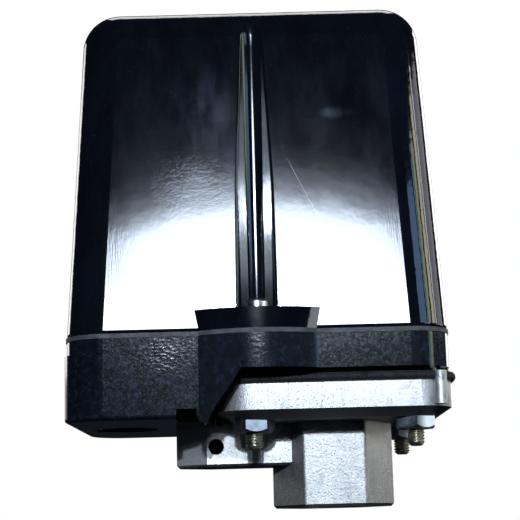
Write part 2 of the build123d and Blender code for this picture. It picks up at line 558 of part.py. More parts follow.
def fixed_contacts():
    """Brass strips bent round the block's ends, from the tip below to the terminal above."""
    strips = []
    for y in POLES:
        for side in (-1, 1):
            outer = CONTACT_X + side * (BLOCK_HALF_X + 1)
            inner = CONTACT_X + side * BLOCK_HALF_X
            lower = sorted((outer, CONTACT_X + side * (TIP_OFFSET - 2.5)))
            upper = sorted((outer, CONTACT_X + side * 4.0))
            wide = (y - 3.5, y + 3.5)
            strip = block(lower, wide, (BLOCK_Z - 1, BLOCK_Z))
            strip += block(sorted((outer, inner)), wide, (BLOCK_Z - 1, BLOCK_TOP_Z + 1))
            strip += block(upper, wide, (BLOCK_TOP_Z, BLOCK_TOP_Z + 1))
            x_screw = CONTACT_X + side * TERMINAL_OFFSET
            strips.append(strip - rod(x_screw, y, 1.8, BLOCK_TOP_Z - 1, BLOCK_TOP_Z + 2))
    return group(strips)


def tips(radius, z_low, z_high):
    return group([rod(CONTACT_X + side * TIP_OFFSET, y, radius, z_low, z_high)
                  for y in POLES for side in (-1, 1)])


def fixed_tips():
    return tips(TIP_R, BLOCK_Z - 2, BLOCK_Z - 1)


def bridge_tips():
    return tips(TIP_R - 0.2, BRIDGE_Z + BRIDGE_SHEET, BLOCK_Z - 2.02)


def terminal_clamps():
    z, half = BLOCK_TOP_Z + 1, 3.3
    clamps = []
    for x, y in terminal_places():
        plate = block((x - half, x + half), (y - half, y + half), (z, z + 1))
        clamps.append(plate - rod(x, y, 1.8, z - 1, z + 2))
    return group(clamps)


def terminal_screws():
    z = BLOCK_TOP_Z + 2
    screws = []
    for x, y in terminal_places():
        head = rod(x, y, 3.0, z, z + 2.2)
        head = chamfer(head.edges().group_by(Axis.Z)[-1], 0.4)
        head -= block((x - 4, x + 4), (y - 0.4, y + 0.4), (z + 1.2, z + 3))
        head -= block((x - 0.4, x + 0.4), (y - 4, y + 4), (z + 1.2, z + 3))
        screws.append(head + rod(x, y, 1.7, BLOCK_Z + 6, z))
    return group(screws)


def contact_carrier():
    """A bar that the lever presses down, with one windowed post for each bridge."""
    carrier = block((CONTACT_X - 4, -41.0), (-24.7, 24.7), (CARRIER_Z, CARRIER_TOP_Z))
    carrier = fillet(carrier.edges().filter_by(Axis.Z), 1.5)
    crown_z = LEVER_Z - TOUCH - 2
    carrier += rod_y(CARRIER_PAD_X, crown_z, 2.0, -5.5, 5.5)
    for y in POLES:
        carrier += block((CONTACT_X - 3, CONTACT_X + 3), (y - 4.5, y + 4.5), (CARRIER_Z + 1, 64.0))
        carrier -= block((CONTACT_X - 5, CONTACT_X + 5), (y - 3.2, y + 3.2), (51.0, 59.85))
    return carrier


def carrier_spring():
    return coil(-43.5, 0, 2.9, 0.45, LEFT_FLOOR_Z, CARRIER_Z, 6)


def contact_bridges():
    half = TIP_OFFSET + 2.2
    return group([block((CONTACT_X - half, CONTACT_X + half), (y - 3, y + 3),
                        (BRIDGE_Z, BRIDGE_Z + BRIDGE_SHEET)) for y in POLES])


def contact_springs():
    return group([coil(CONTACT_X, y, 2.1, 0.35, 51.0, BRIDGE_Z, 4) for y in POLES])


def earth_clamp():
    z = RIGHT_FLOOR_Z + FRAME_SHEET
    return ring(0, -EARTH_Y, 4.4, 2.1, z, z + 1.2)


def earth_screw():
    z = RIGHT_FLOOR_Z + FRAME_SHEET + 1.2
    slot = block((-5, 5), (-EARTH_Y - 0.5, -EARTH_Y + 0.5), (z + 1.2, z + 3))
    head = rod(0, -EARTH_Y, 3.6, z, z + 2.2) - slot
    return head + rod(0, -EARTH_Y, 2.0, DIAPHRAGM_TOP_Z + 1.5, z)


NODES = (
    pressure_flange, diaphragm, piston, flange_bolts, flange_washers, flange_nuts,
    valve_bush, valve_plunger, valve_pin, valve_spring,
    base_housing, cover_seal, cover, cover_screws,
    knob, knob_clip, release_shaft, release_clip, push_rod, rod_spring,
    side_plates, frame_yoke, rod_guide, main_lever, lever_pin, lever_clips,
    spring_cup, range_spring, range_plate, range_screw,
    differential_plate, differential_screw, differential_spring,
    contact_block, block_screws, fixed_contacts, fixed_tips, terminal_clamps, terminal_screws,
    contact_carrier, carrier_spring, contact_bridges, bridge_tips, contact_springs,
    earth_clamp, earth_screw,
)

os.makedirs("parts", exist_ok=True)
for make in NODES:
    export_step(make(), f"parts/{make.__name__}.step")
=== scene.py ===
import bpy
import json
import math
from mathutils import Matrix, Vector


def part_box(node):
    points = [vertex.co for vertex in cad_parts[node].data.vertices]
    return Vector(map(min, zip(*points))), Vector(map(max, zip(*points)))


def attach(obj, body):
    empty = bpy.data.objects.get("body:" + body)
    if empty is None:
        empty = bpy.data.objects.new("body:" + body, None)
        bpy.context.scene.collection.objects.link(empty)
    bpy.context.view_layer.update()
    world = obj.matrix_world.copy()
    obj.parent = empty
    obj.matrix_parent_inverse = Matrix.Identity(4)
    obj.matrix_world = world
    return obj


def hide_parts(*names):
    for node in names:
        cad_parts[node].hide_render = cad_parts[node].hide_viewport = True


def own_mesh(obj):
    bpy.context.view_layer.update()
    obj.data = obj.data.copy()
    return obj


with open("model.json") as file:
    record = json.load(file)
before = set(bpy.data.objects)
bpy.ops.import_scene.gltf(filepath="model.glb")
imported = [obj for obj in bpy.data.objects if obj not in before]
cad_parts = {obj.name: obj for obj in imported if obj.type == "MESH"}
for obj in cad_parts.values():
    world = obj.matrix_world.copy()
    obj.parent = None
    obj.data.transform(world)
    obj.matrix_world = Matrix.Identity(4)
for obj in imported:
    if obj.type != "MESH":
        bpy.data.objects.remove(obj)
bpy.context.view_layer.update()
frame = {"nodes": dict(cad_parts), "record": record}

MM = 0.001
scene = bpy.context.scene


# --- shader helpers -----------------------------------------------------------------------------
def add_node(tree, kind, inputs=None, **settings):
    """A new shader node with its settings made and each input linked to a socket or given a value."""
    made = tree.nodes.new(kind)
    for key, value in settings.items():
        setattr(made, key, value)
    for key, value in (inputs or {}).items():
        if isinstance(value, bpy.types.NodeSocket):
            tree.links.new(value, made.inputs[key])
        else:
            made.inputs[key].default_value = value
    return made


class Surface:
    """A Principled material whose colour, roughness and relief are built from procedural layers."""

    def __init__(self, name, **fixed):
        self.material = bpy.data.materials.new(name)
        self.material.use_nodes = True
        self.tree = self.material.node_tree
        self.shader = self.tree.nodes["Principled BSDF"]
        self.relief = None
        self.place = self.tree.nodes.new("ShaderNodeTexCoord").outputs["Object"]
        for socket, value in fixed.items():
            self.shader.inputs[socket.replace("_", " ")].default_value = value

    def node(self, kind, inputs=None, **settings):
        return add_node(self.tree, kind, inputs, **settings)

    def stretched(self, stretch, turn=(0, 0, 0)):
        """Object coordinates scaled along each axis, to draw grain out into streaks."""
        mapping = self.node("ShaderNodeMapping", {"Vector": self.place, "Scale": stretch, "Rotation": turn})
        return mapping.outputs["Vector"]

    def noise(self, size_mm, detail=4.0, roughness=0.6, place=None, distortion=0.0):
        made = self.node("ShaderNodeTexNoise", {
            "Vector": place or self.place, "Scale": 1 / (size_mm * MM), "Detail": detail,
            "Roughness": roughness, "Distortion": distortion})
        return made.outputs["Fac"]

    def cells(self, size_mm, feature="F1", place=None):
        inputs = {"Vector": place or self.place, "Scale": 1 / (size_mm * MM)}
        return self.node("ShaderNodeTexVoronoi", inputs, feature=feature).outputs["Distance"]

    def band(self, value, low, high, out_low=0.0, out_high=1.0):
        """value between low and high becomes out_low to out_high, clamped and eased."""
        made = self.node("ShaderNodeMapRange", {
            "Value": value, "From Min": low, "From Max": high, "To Min": out_low, "To Max": out_high},
            interpolation_type="SMOOTHSTEP")
        return made.outputs["Result"]

    def math(self, operation, *values):
        return self.node("ShaderNodeMath", dict(enumerate(values)), operation=operation).outputs["Value"]

    def mix(self, share, *colours):
        """The first colour where share is 0 and the second where it is 1."""
        first, second = (c if isinstance(c, bpy.types.NodeSocket) else (*c, 1) for c in colours)
        return self.node("ShaderNodeMix", {0: share, 6: first, 7: second}, data_type="RGBA").outputs[2]

    def bump(self, height, depth_mm, strength=1.0):
        """Add a layer of relief on top of those before it."""
        inputs = {"Height": height, "Distance": depth_mm * MM, "Strength": strength}
        if self.relief:
            inputs["Normal"] = self.relief
        self.relief = self.node("ShaderNodeBump", inputs).outputs["Normal"]

    def axis(self, name):
        """One object coordinate, in millimetres."""
        split = self.node("ShaderNodeSeparateXYZ", {"Vector": self.place})
        return self.math("MULTIPLY", split.outputs[name], 1 / MM)

    def spot(self, x, z, half_x, half_z, blur=1.0):
        """1 at (x, z) seen from the front, falling to 0 around it. Millimetres."""
        across = self.math("DIVIDE", self.math("SUBTRACT", self.axis("X"), x), half_x)
        along = self.math("DIVIDE", self.math("SUBTRACT", self.axis("Z"), z), half_z)
        far = self.math("SQRT", self.math("ADD", self.math("POWER", self.math("ABSOLUTE", across), 2.0),
                                          self.math("POWER", self.math("ABSOLUTE", along), 2.0)))
        return self.band(far, 1.0 - blur, 1.0, 1.0, 0.0)

    def front_half(self):
        """1 on the front half of the switch, 0 on its rear half."""
        return self.band(self.axis("Y"), -12.0, -6.0, 1.0, 0.0)

    def front_spot(self, x, z, half_x, half_z):
        """A spot that shows only on the front half of the switch."""
        return self.math("MULTIPLY", self.spot(x, z, half_x, half_z), self.front_half())

    def front_line(self, start, end, width):
        """1 along a thin straight line on a front face, between two (x, z) places. Millimetres."""
        fade = 4.0
        run = math.dist(start, end)
        way_x, way_z = (end[0] - start[0]) / run, (end[1] - start[1]) / run
        dx = self.math("SUBTRACT", self.axis("X"), start[0])
        dz = self.math("SUBTRACT", self.axis("Z"), start[1])
        along = self.math("ADD", self.math("MULTIPLY", dx, way_x), self.math("MULTIPLY", dz, way_z))
        aside = self.math("SUBTRACT", self.math("MULTIPLY", dx, way_z), self.math("MULTIPLY", dz, way_x))
        thin = self.band(self.math("ABSOLUTE", aside), 0.3 * width, width, 1.0, 0.0)
        starts = self.band(along, 0.0, fade)
        ends = self.band(along, run - fade, run, 1.0, 0.0)
        line = self.math("MULTIPLY", thin, self.math("MULTIPLY", starts, ends))
        return self.math("MULTIPLY", line, self.front_half())

    def painted_shade_below(self):
        """1 on faces that look down, which get painted shade, and 0 on upright ones."""
        normal = self.node("ShaderNodeNewGeometry").outputs["True Normal"]
        split = self.node("ShaderNodeSeparateXYZ", {"Vector": normal})
        return self.band(split.outputs["Z"], -0.6, -0.2, 1.0, 0.0)

    def edges(self):
        """1 on worn convex edges, 0 elsewhere."""
        pointy = self.node("ShaderNodeNewGeometry").outputs["Pointiness"]
        return self.band(pointy, 0.52, 0.62)

    def finish(self, colour, roughness):
        """Link the layers to the shader and give back the material."""
        self.tree.links.new(colour, self.shader.inputs["Base Color"])
        self.tree.links.new(roughness, self.shader.inputs["Roughness"])
        if self.relief:
            self.tree.links.new(self.relief, self.shader.inputs["Normal"])
        return self.material


# --- materials ----------------------------------------------------------------------------------
def cover_plastic():
    """Polished black moulding: soft waves, a haze with a painted blue sheen, dust, one scratch and brushed
    sides to its front.
    """
    s = Surface("cover_plastic", IOR=1.58)
    wipe = s.noise(9, detail=6, place=s.stretched((1.0, 1.0, 0.4), (0, 0.25, 0)))
    crumple = s.noise(0.9, detail=5, roughness=0.7, distortion=1.2)
    brushed = s.noise(0.38, detail=4, place=s.stretched((1, 1, 0.04)))
    dust = s.band(s.noise(0.35, detail=2), 0.66, 0.78)
    haze_and_sheen = s.math("MULTIPLY", s.front_spot(-33, 109, 11, 16), s.band(wipe, 0.35, 0.7))
    smudge = s.math("MULTIPLY", s.front_spot(3, 107, 6.0, 2.4), s.band(wipe, 0.25, 0.8))
    scratch = s.front_line((-11.6, 95.1), (-2.7, 76.5), 0.13)
    colour = s.mix(s.band(wipe, 0.3, 0.75), (0.0012, 0.0016, 0.0028), (0.0025, 0.0034, 0.006))
    colour = s.mix(s.math("MULTIPLY", dust, 0.08), colour, (0.30, 0.32, 0.36))
    # painted sheen: the haze's blue tint stands in for light it scatters; the haze's roughness is real
    colour = s.mix(s.math("MULTIPLY", haze_and_sheen, 0.05), colour, (0.16, 0.24, 0.42))
    colour = s.mix(s.math("MULTIPLY", smudge, 0.16), colour, (0.45, 0.52, 0.62))
    colour = s.mix(s.math("MULTIPLY", scratch, 0.45), colour, (0.40, 0.42, 0.46))
    rough = s.math("ADD", s.band(wipe, 0.25, 0.8, 0.045, 0.08), s.math("MULTIPLY", haze_and_sheen, 0.03))
    s.bump(s.noise(5.5, detail=2), 0.008)
    s.bump(s.math("MULTIPLY", crumple, s.front_spot(-37, 89, 19, 15)), 0.014)
    sides = s.math("MAXIMUM", s.front_spot(-58, 64, 9, 20), s.front_spot(19, 72, 8, 20))
    s.bump(s.math("MULTIPLY", brushed, sides), 0.011)
    s.bump(s.noise(0.9, detail=3), 0.0010)
    return s.finish(colour, rough)


def base_plastic():
    """Black moulding with an uneven skin, creased on its left panel and on the middle of its pad."""
    s = Surface("base_plastic", IOR=1.5)
    warp = s.noise(2.2, detail=3)
    wrinkle = s.cells(1.5, feature="SMOOTH_F1")
    grain = s.noise(0.55, detail=4)
    colour = s.mix(s.band(warp, 0.3, 0.8), (0.0015, 0.0020, 0.0032), (0.0045, 0.0062, 0.0105))
    colour = s.mix(s.band(s.noise(1.8, detail=4), 0.5, 0.72), colour, (0.008, 0.014, 0.026))
    colour = s.mix(s.math("MULTIPLY", s.edges(), 0.15), colour, (0.03, 0.03, 0.034))
    rough = s.band(grain, 0.3, 0.75, 0.08, 0.14)
    s.bump(s.noise(4.0, detail=3), 0.035, 0.6)
    s.bump(warp, 0.006, 0.6)
    s.bump(wrinkle, 0.0015, 0.6)
    creased = s.math("MULTIPLY", s.cells(1.3, place=s.stretched((1.0, 1.0, 1.6), (0, 0.6, 0))), s.noise(0.8))
    left_panel = s.front_spot(-45, 40, 13, 10)
    pad_middle = s.front_spot(-20.5, 42, 9, 7)
    pad_share = s.math("MULTIPLY", pad_middle, 0.45)
    s.bump(s.math("MULTIPLY", creased, s.math("MAXIMUM", left_panel, pad_share)), 0.048)
    s.bump(grain, 0.004, 0.6)
    return s.finish(colour, rough)


def knob_plastic():
    """Dark grey moulding, handled until its edges have gone pale."""
    s = Surface("knob_plastic", IOR=1.5)
    grain = s.noise(0.4, detail=4)
    wipe = s.noise(5, detail=4)
    colour = s.mix(s.band(wipe, 0.3, 0.7), (0.010, 0.010, 0.012), (0.020, 0.020, 0.023))
    colour = s.mix(s.math("MULTIPLY", s.edges(), 0.4), colour, (0.10, 0.10, 0.11))
    s.bump(grain, 0.02)
    return s.finish(colour, s.band(wipe, 0.3, 0.75, 0.26, 0.42))


VENT = (-32.9, 17.4)  # x and z of the arm's vent hole, whose inside is painted black as shade
VENT_EDGE = 2.3  # a little more than the hole's radius
VENT_MOUTH_Y, VENT_END_Y = -9.66, 5.0  # where the black begins and ends


def cast_aluminium():
    """Sand-cast skin with pits, stains and rubbed strokes, with painted shade on the flange, on faces that
    look down and in the vent hole.
    """
    s = Surface("cast_aluminium", Metallic=0.82)
    sand = s.noise(0.55, detail=5, roughness=0.7)
    lumps = s.noise(3.2, detail=3)
    pits = s.band(s.cells(0.9), 0.0, 0.28, 1.0, 0.0)
    stain = s.band(s.noise(6, detail=5), 0.42, 0.72)
    rubbed = s.noise(5, detail=5, place=s.stretched((1.0, 1.0, 0.45), (0, -0.9, 0)), distortion=0.6)
    colour = s.mix(s.band(sand, 0.3, 0.7), (0.19, 0.186, 0.18), (0.42, 0.41, 0.395))
    colour = s.mix(s.math("MULTIPLY", stain, 0.35), colour, (0.15, 0.15, 0.13))
    colour = s.mix(s.math("MULTIPLY", s.band(rubbed, 0.48, 0.68), 0.30), colour, (0.13, 0.135, 0.14))
    colour = s.mix(s.math("MULTIPLY", pits, 0.5), colour, (0.16, 0.16, 0.17))
    colour = s.mix(s.math("MULTIPLY", s.edges(), 0.6), colour, (0.80, 0.79, 0.78))
    on_flange = s.band(s.axis("Z"), 22.0, 24.5)
    right_end = s.band(s.axis("X"), 8.0, 30.0, 0.10, 0.55)
    slanted = s.stretched((1.0, 1.0, 0.5), (0, -1.0, 0))
    strokes = s.noise(3.2, detail=6, roughness=0.7, place=slanted, distortion=0.8)
    # painted shade: the flange is darkened for the light that falls on it
    colour = s.mix(s.math("MULTIPLY", on_flange, 0.38), colour, (0.05, 0.05, 0.05))
    marks = s.math("MULTIPLY", s.band(strokes, 0.47, 0.62), s.math("MULTIPLY", on_flange, right_end))
    colour = s.mix(marks, colour, (0.045, 0.047, 0.05))
    # painted shade on faces that look down
    colour = s.mix(s.math("MULTIPLY", s.painted_shade_below(), 0.62), colour, (0.012, 0.012, 0.012))
    # painted shade: the inside of the vent hole is painted black
    vent_shade = s.spot(*VENT, VENT_EDGE, VENT_EDGE, 0.04)
    vent_shade = s.math("MULTIPLY", vent_shade, s.band(s.axis("Y"), VENT_MOUTH_Y, VENT_MOUTH_Y + 0.16))
    vent_shade = s.math("MULTIPLY", vent_shade, s.band(s.axis("Y"), VENT_END_Y - 1.0, VENT_END_Y, 1.0, 0.0))
    colour = s.mix(vent_shade, colour, (0.001, 0.001, 0.001))
    s.bump(lumps, 0.12, 0.6)
    s.bump(sand, 0.12, 0.8)
    s.bump(pits, -0.06, 0.8)
    return s.finish(colour, s.band(sand, 0.25, 0.75, 0.34, 0.58))


HIGHLIGHT_FROM_X, HIGHLIGHT_BY_X = 22.0, 25.0  # painted highlight: the parts further right are painted lighter, for the light that falls on them from the right


def plated(name, light, dark, size_mm=1.2, rough=(0.22, 0.42), worn=0.5, right_highlight=None):
    """Plated metal: cloudy colour, fine marks, brighter worn edges and perhaps a right end painted lighter
    as a painted highlight.
    """
    s = Surface(name, Metallic=1.0)
    cloud = s.noise(size_mm * 2.5, detail=4)
    fine = s.noise(size_mm * 0.25, detail=3)
    colour = s.mix(s.band(cloud, 0.3, 0.7), dark, light)
    colour = s.mix(s.math("MULTIPLY", s.edges(), worn), colour, (0.95, 0.95, 0.93))
    if right_highlight:
        # painted highlight: the right end is painted lighter
        colour = s.mix(s.band(s.axis("X"), HIGHLIGHT_FROM_X, HIGHLIGHT_BY_X), colour, right_highlight)
    s.bump(fine, 0.012)
    s.bump(cloud, 0.03, 0.5)
    return s.finish(colour, s.band(cloud, 0.25, 0.8, *rough))


def rolled_sheet(name, light, dark):
    """Plated sheet with faint streaks along the rolling direction."""
    s = Surface(name, Metallic=1.0)
    streak = s.noise(0.35, detail=3, place=s.stretched((1, 1, 0.05)))
    cloud = s.noise(7, detail=4)
    colour = s.mix(s.band(streak, 0.3, 0.7), dark, light)
    colour = s.mix(s.math("MULTIPLY", s.band(cloud, 0.40, 0.75), 0.12), colour, (0.62, 0.56, 0.40))
    s.bump(streak, 0.0015)
    return s.finish(colour, s.band(cloud, 0.25, 0.75, 0.34, 0.38))


def rubber(name, tone, size_mm=0.7, shine=0.5):
    """Matt rubber with a fine grain and a patchy bloom."""
    s = Surface(name, IOR=1.45, Specular_IOR_Level=shine)
    grain = s.noise(size_mm, detail=4)
    bloom = s.noise(4, detail=4)
    dark = tuple(0.6 * c for c in tone)
    light = tuple(1.7 * c + 0.004 for c in tone)
    colour = s.mix(s.band(bloom, 0.3, 0.75), dark, light)
    s.bump(grain, 0.04)
    return s.finish(colour, s.band(grain, 0.3, 0.7, 0.55, 0.8))


def moulded(name, dark, light, rough=(0.4, 0.6)):
    """Inner mouldings: fibre-flecked plastic."""
    s = Surface(name, IOR=1.5)
    fleck = s.noise(0.5, detail=3, place=s.stretched((1, 1, 0.3)))
    cloud = s.noise(5, detail=3)
    colour = s.mix(s.band(fleck, 0.35, 0.7), dark, light)
    s.bump(fleck, 0.012)
    return s.finish(colour, s.band(cloud, 0.3, 0.7, *rough))


def floor_paper():
    """Pale paper with a faint fibre."""
    s = Surface("floor_paper", Specular_IOR_Level=0.2)
    fibre = s.noise(6, detail=6)
    colour = s.mix(s.band(fibre, 0.3, 0.7), (0.80, 0.80, 0.79), (0.84, 0.84, 0.83))
    s.bump(fibre, 0.02)
    return s.finish(colour, s.band(fibre, 0.3, 0.7, 0.7, 0.85))


MATERIALS = {
    "cast_aluminium": cast_aluminium(),
    "rubber": rubber("rubber", (0.005, 0.005, 0.006), shine=0.22),
    "seal_rubber": rubber("seal_rubber", (0.030, 0.031, 0.034), 0.4),
    "zinc_steel": plated("zinc_steel", (0.78, 0.79, 0.80), (0.55, 0.56, 0.58)),
    # the nuts' last colour is a painted highlight on their right end
    "zinc_nut": plated("zinc_nut", (0.155, 0.185, 0.23), (0.060, 0.075, 0.095), 0.8, (0.38, 0.55), 0.08,
                       (0.80, 0.84, 0.90)),
    "zinc_thread": plated("zinc_thread", (0.46, 0.43, 0.33), (0.22, 0.20, 0.14), 0.6, (0.3, 0.45), 0.1),
    "screw_steel": plated("screw_steel", (0.84, 0.82, 0.78), (0.58, 0.56, 0.52)),
    "spring_steel": plated("spring_steel", (0.50, 0.50, 0.52), (0.26, 0.26, 0.28), 0.8),
    "frame_steel": rolled_sheet("frame_steel", (0.68, 0.69, 0.69), (0.58, 0.59, 0.60)),
    "brass": plated("brass", (0.83, 0.64, 0.32), (0.58, 0.42, 0.18)),
    "silver": plated("silver", (0.88, 0.86, 0.82), (0.66, 0.64, 0.60), 0.5),
    "base_plastic": base_plastic(),
    "cover_plastic": cover_plastic(),
    "knob_plastic": knob_plastic(),
    "inner_plastic": moulded("inner_plastic", (0.62, 0.59, 0.50), (0.78, 0.75, 0.67)),
    "contact_plastic": moulded("contact_plastic", (0.055, 0.034, 0.022), (0.11, 0.072, 0.048), (0.3, 0.5)),
}


def dress_cad_nodes():
    """Every CAD node takes the material of its slot."""
    slots = {sub["node"]: sub["material_slot"] for sub in frame["record"]["subparts"]}
    for name, node in frame["nodes"].items():
        node.data.materials.clear()
        node.data.materials.append(MATERIALS[slots[name]])


# --- small pieces that the solids leave plain ----------------------------------------------------
def new_piece(name, points, faces, slot, body):
    """A mesh in millimetres that rides on a body. Its four-sided faces are shaded smooth."""
    mesh = bpy.data.meshes.new(name)
    mesh.from_pydata([tuple(c * MM for c in point) for point in points], [], faces)
    mesh.validate()
    mesh.materials.append(MATERIALS[slot])
    for polygon in mesh.polygons:
        polygon.use_smooth = len(polygon.vertices) == 4
    piece = bpy.data.objects.new(name, mesh)
    scene.collection.objects.link(piece)
    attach(piece, body)
    return piece


def tube(rows, closed_along=False):
    """Faces that join equal rings of points in order, each ring closed on itself."""
    count, around = len(rows), len(rows[0])
    points = [point for row in rows for point in row]
    faces = []
    for i in range(count if closed_along else count - 1):
        low, high = i * around, (i + 1) % count * around
        for j in range(around):
            k = (j + 1) % around
            faces.append((low + j, low + k, high + k, high + j))
    return points, faces


def thread_depth(turns):
    """0 at a thread's root and 1 at its crest, with a narrow flat on both."""
    flat = 0.12
    wave = abs(2 * (turns % 1.0) - 1)
    return min(1.0, max(0.0, (wave - flat) / (1 - 2 * flat)))


def thread(name, x, y, z_low, z_high, root, crest, pitch, slot, inner=False):
    """A helical thread as a skin on a core cylinder, or as ridges standing in from a bore's wall."""
    around, step, fade = 48, pitch / 8, 0.8 * pitch
    count = int((z_high - z_low) / step) + 1
    rows = []
    for i in range(count):
        z = z_low + (z_high - z_low) * i / (count - 1)
        run_out = min(1.0, (z - z_low) / fade, (z_high - z) / fade)
        row = []
        for j in range(around):
            angle = 2 * math.pi * j / around
            depth = thread_depth(z / pitch - j / around) * max(0.0, run_out)
            r = root + (crest - root) * depth
            row.append((x + r * math.cos(angle), y + r * math.sin(angle), z))
        rows.append(row[::-1] if inner else row)
    points, faces = tube(rows)
    if not inner:
        faces.append(tuple(range(around))[::-1])
        faces.append(tuple(range((count - 1) * around, count * around)))
    new_piece(name, points, faces, slot, "body")


def rounded_square(half, corner, spacing):
    """Points and outward directions, evenly spaced, anticlockwise from above."""
    side, quarter = 2 * (half - corner), math.pi / 2 * corner
    count = round(4 * (side + quarter) / spacing)
    places = []
    for i in range(count):
        quadrant, run = divmod(4 * (side + quarter) * i / count, side + quarter)
        turn = quadrant * math.pi / 2
        if run < side:
            x, y, normal = half, run - side / 2, 0.0
        else:
            normal = (run - side) / corner
            x = half - corner + corner * math.cos(normal)
            y = half - corner + corner * math.sin(normal)
        places.append((x * math.cos(turn) - y * math.sin(turn), x * math.sin(turn) + y * math.cos(turn),
                       math.cos(normal + turn), math.sin(normal + turn)))
    return places


def diaphragm_bead():
    """The diaphragm's squeezed-out edge: a rounded bead with fine cross ribs from its fabric."""
    low, high = (corner[2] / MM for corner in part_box("diaphragm"))
    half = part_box("diaphragm")[1][0] / MM
    corner_radius, spacing, around = 11.0, 0.30, 10
    sunk, heights = 0.25, (0.20, 0.28, 0.42, 0.28)
    rows = []
    for number, (x, y, out_x, out_y) in enumerate(rounded_square(half, corner_radius, spacing)):
        proud = heights[number % len(heights)]
        row = []
        for j in range(around):
            angle = 2 * math.pi * j / around
            out = -sunk + (proud + sunk) * max(0.0, math.cos(angle)) ** 0.6
            z = (low + high) / 2 + (high - low) * 0.46 * math.sin(angle)
            row.append((x + out * out_x, y + out * out_y, z))
        rows.append(row)
    new_piece("diaphragm_bead", *tube(rows, closed_along=True), "rubber", "body")


def knob_ribs():
    """Shallow grip ribs round the knob's skirt."""
    low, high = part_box("knob")
    x, top = (low[0] + high[0]) / 2 / MM, high[2] / MM
    skirt_low, skirt_high, radius = top - 9.6, top - 7.4, 13.5
    ribs, around, sunk, clear, proud, end = 36, 288, 0.2, 0.02, 0.42, 0.3
    rows = []
    levels = ((skirt_low, False), (skirt_low + end, True), (skirt_high - end, True), (skirt_high, False))
    for level, ribbed in levels:
        row = []
        for j in range(around):
            angle = 2 * math.pi * j / around
            rib = max(0.0, math.cos(ribs * angle)) ** 0.7
            r = radius + (clear + proud * rib if ribbed else -sunk)
            row.append((x + r * math.cos(angle), r * math.sin(angle), level))
        rows.append(row)
    new_piece("knob_ribs", *tube(rows), "knob_plastic", "knob")


def spring(node, x, mean, wire, turns, top, foot=None):
    """A coil with closed, flat ends, in two halves.

    mean is the radius of the coil's middle line and wire is the wire's own radius. top and foot are
    the joint that pushes that end and how far it does so, and are not used. All are in millimetres.
    """
    low, high = (corner[2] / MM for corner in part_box(node))
    half, half_steps, around = (high - low) / 2, round(turns * 14), 10
    closed = 0.7 / turns
    rows = []
    for i in range(2 * half_steps + 1):
        share = i / (2 * half_steps)
        angle = 2 * math.pi * turns * share
        lift = min(1.0, max(0.0, (share - closed) / (1 - 2 * closed)))
        z = low + wire + (high - low - 2 * wire) * lift
        row = []
        for j in range(around):
            turn = 2 * math.pi * j / around
            r = mean + wire * math.cos(turn)
            row.append((x + r * math.cos(angle), r * math.sin(angle), z - wire * math.sin(turn)))
        rows.append(row)
    for part, start, (joint, travel) in (("foot", 0, foot or top), ("top", half_steps, top)):
        points, faces = tube(rows[start:start + half_steps + 1])
        faces.append(tuple(range(around))[::-1])
        faces.append(tuple(range(half_steps * around, (half_steps + 1) * around)))
        piece = new_piece(f"{node}_{part}", points, faces, "spring_steel", "body")
        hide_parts(node)
        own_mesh(piece)


def add_springs():
    """The five coils on the switch's middle plane, each in place of its node's solid."""
    spring("range_spring", 0, mean=9.2, wire=1.3, turns=7.4,
           top=("range_plate_shift", 7.6), foot=("cup_rise", 1.05))
    spring("differential_spring", 19, mean=4.6, wire=0.7, turns=8.4,
           top=("differential_plate_shift", 3.3), foot=("lever_rock", 2.75))
    spring("rod_spring", -28, mean=4.0, wire=0.5, turns=6.4, top=("rod_push", 2.0))
    spring("carrier_spring", -43.5, mean=2.9, wire=0.45, turns=7.4, top=("carrier_press", 2.15))
    spring("valve_spring", -38, mean=2.4, wire=0.4, turns=3.4, top=("unloader_press", 1.8))


def add_threads():
    """Threads on the four stud ends, in the pressure port and in the cable entry."""
    low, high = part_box("flange_bolts")[0][2] / MM + 0.5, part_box("flange_nuts")[0][2] / MM + 0.4
    for number, (x, y) in enumerate(((-22, -22), (22, -22), (-22, 22), (22, 22))):
        thread(f"stud_thread_{number}", x, y, low, high,
               root=2.06, crest=2.42, pitch=0.8, slot="zinc_thread")
    thread("port_thread", 0, 0, 0.6, 14.6,
           root=9.31, crest=8.75, pitch=1.8, slot="cast_aluminium", inner=True)
    thread("cable_thread", -59, 0, 24.0, 33.2,
           root=9.18, crest=8.65, pitch=1.5, slot="base_plastic", inner=True)


# --- lights, floor and camera -------------------------------------------------------------------
AIM = (-0.02, 0.0, 0.08)  # where the lights point, near the middle of the switch
COOL = (0.72, 0.84, 1.0)
WINDOW_MIDDLE = (-0.025, -1.6, 0.50)
WINDOW_RADIANCE = 20
WINDOW_SILL = 0.385
WINDOW_SIZE = (0.50, 0.25)  # the arched top half is an ellipse, the lower half a rectangle
GLOWS = (  # width and height around the window, and radiance
    (0.52, 0.30, 6.0),
    (0.55, 0.37, 2.1),
    (0.58, 0.44, 0.40),
    (0.64, 0.56, 0.10),
)
LAMP_PLACE, LAMP_POWER, LAMP_SIZE = (-0.03, -1.58, 0.47), 27, 0.035
REAR_LIGHTS = (  # place, size and radiance of the soft lights that show the back and the top
    ((0.95, 1.25, 0.55), (0.50, 0.70), 4.5),
    ((-1.05, 1.15, 0.50), (0.40, 0.60), 3.0),
    ((0.0, 0.95, 1.45), (0.90, 0.60), 2.6),
)
CARD_DISTANCE = 1.4
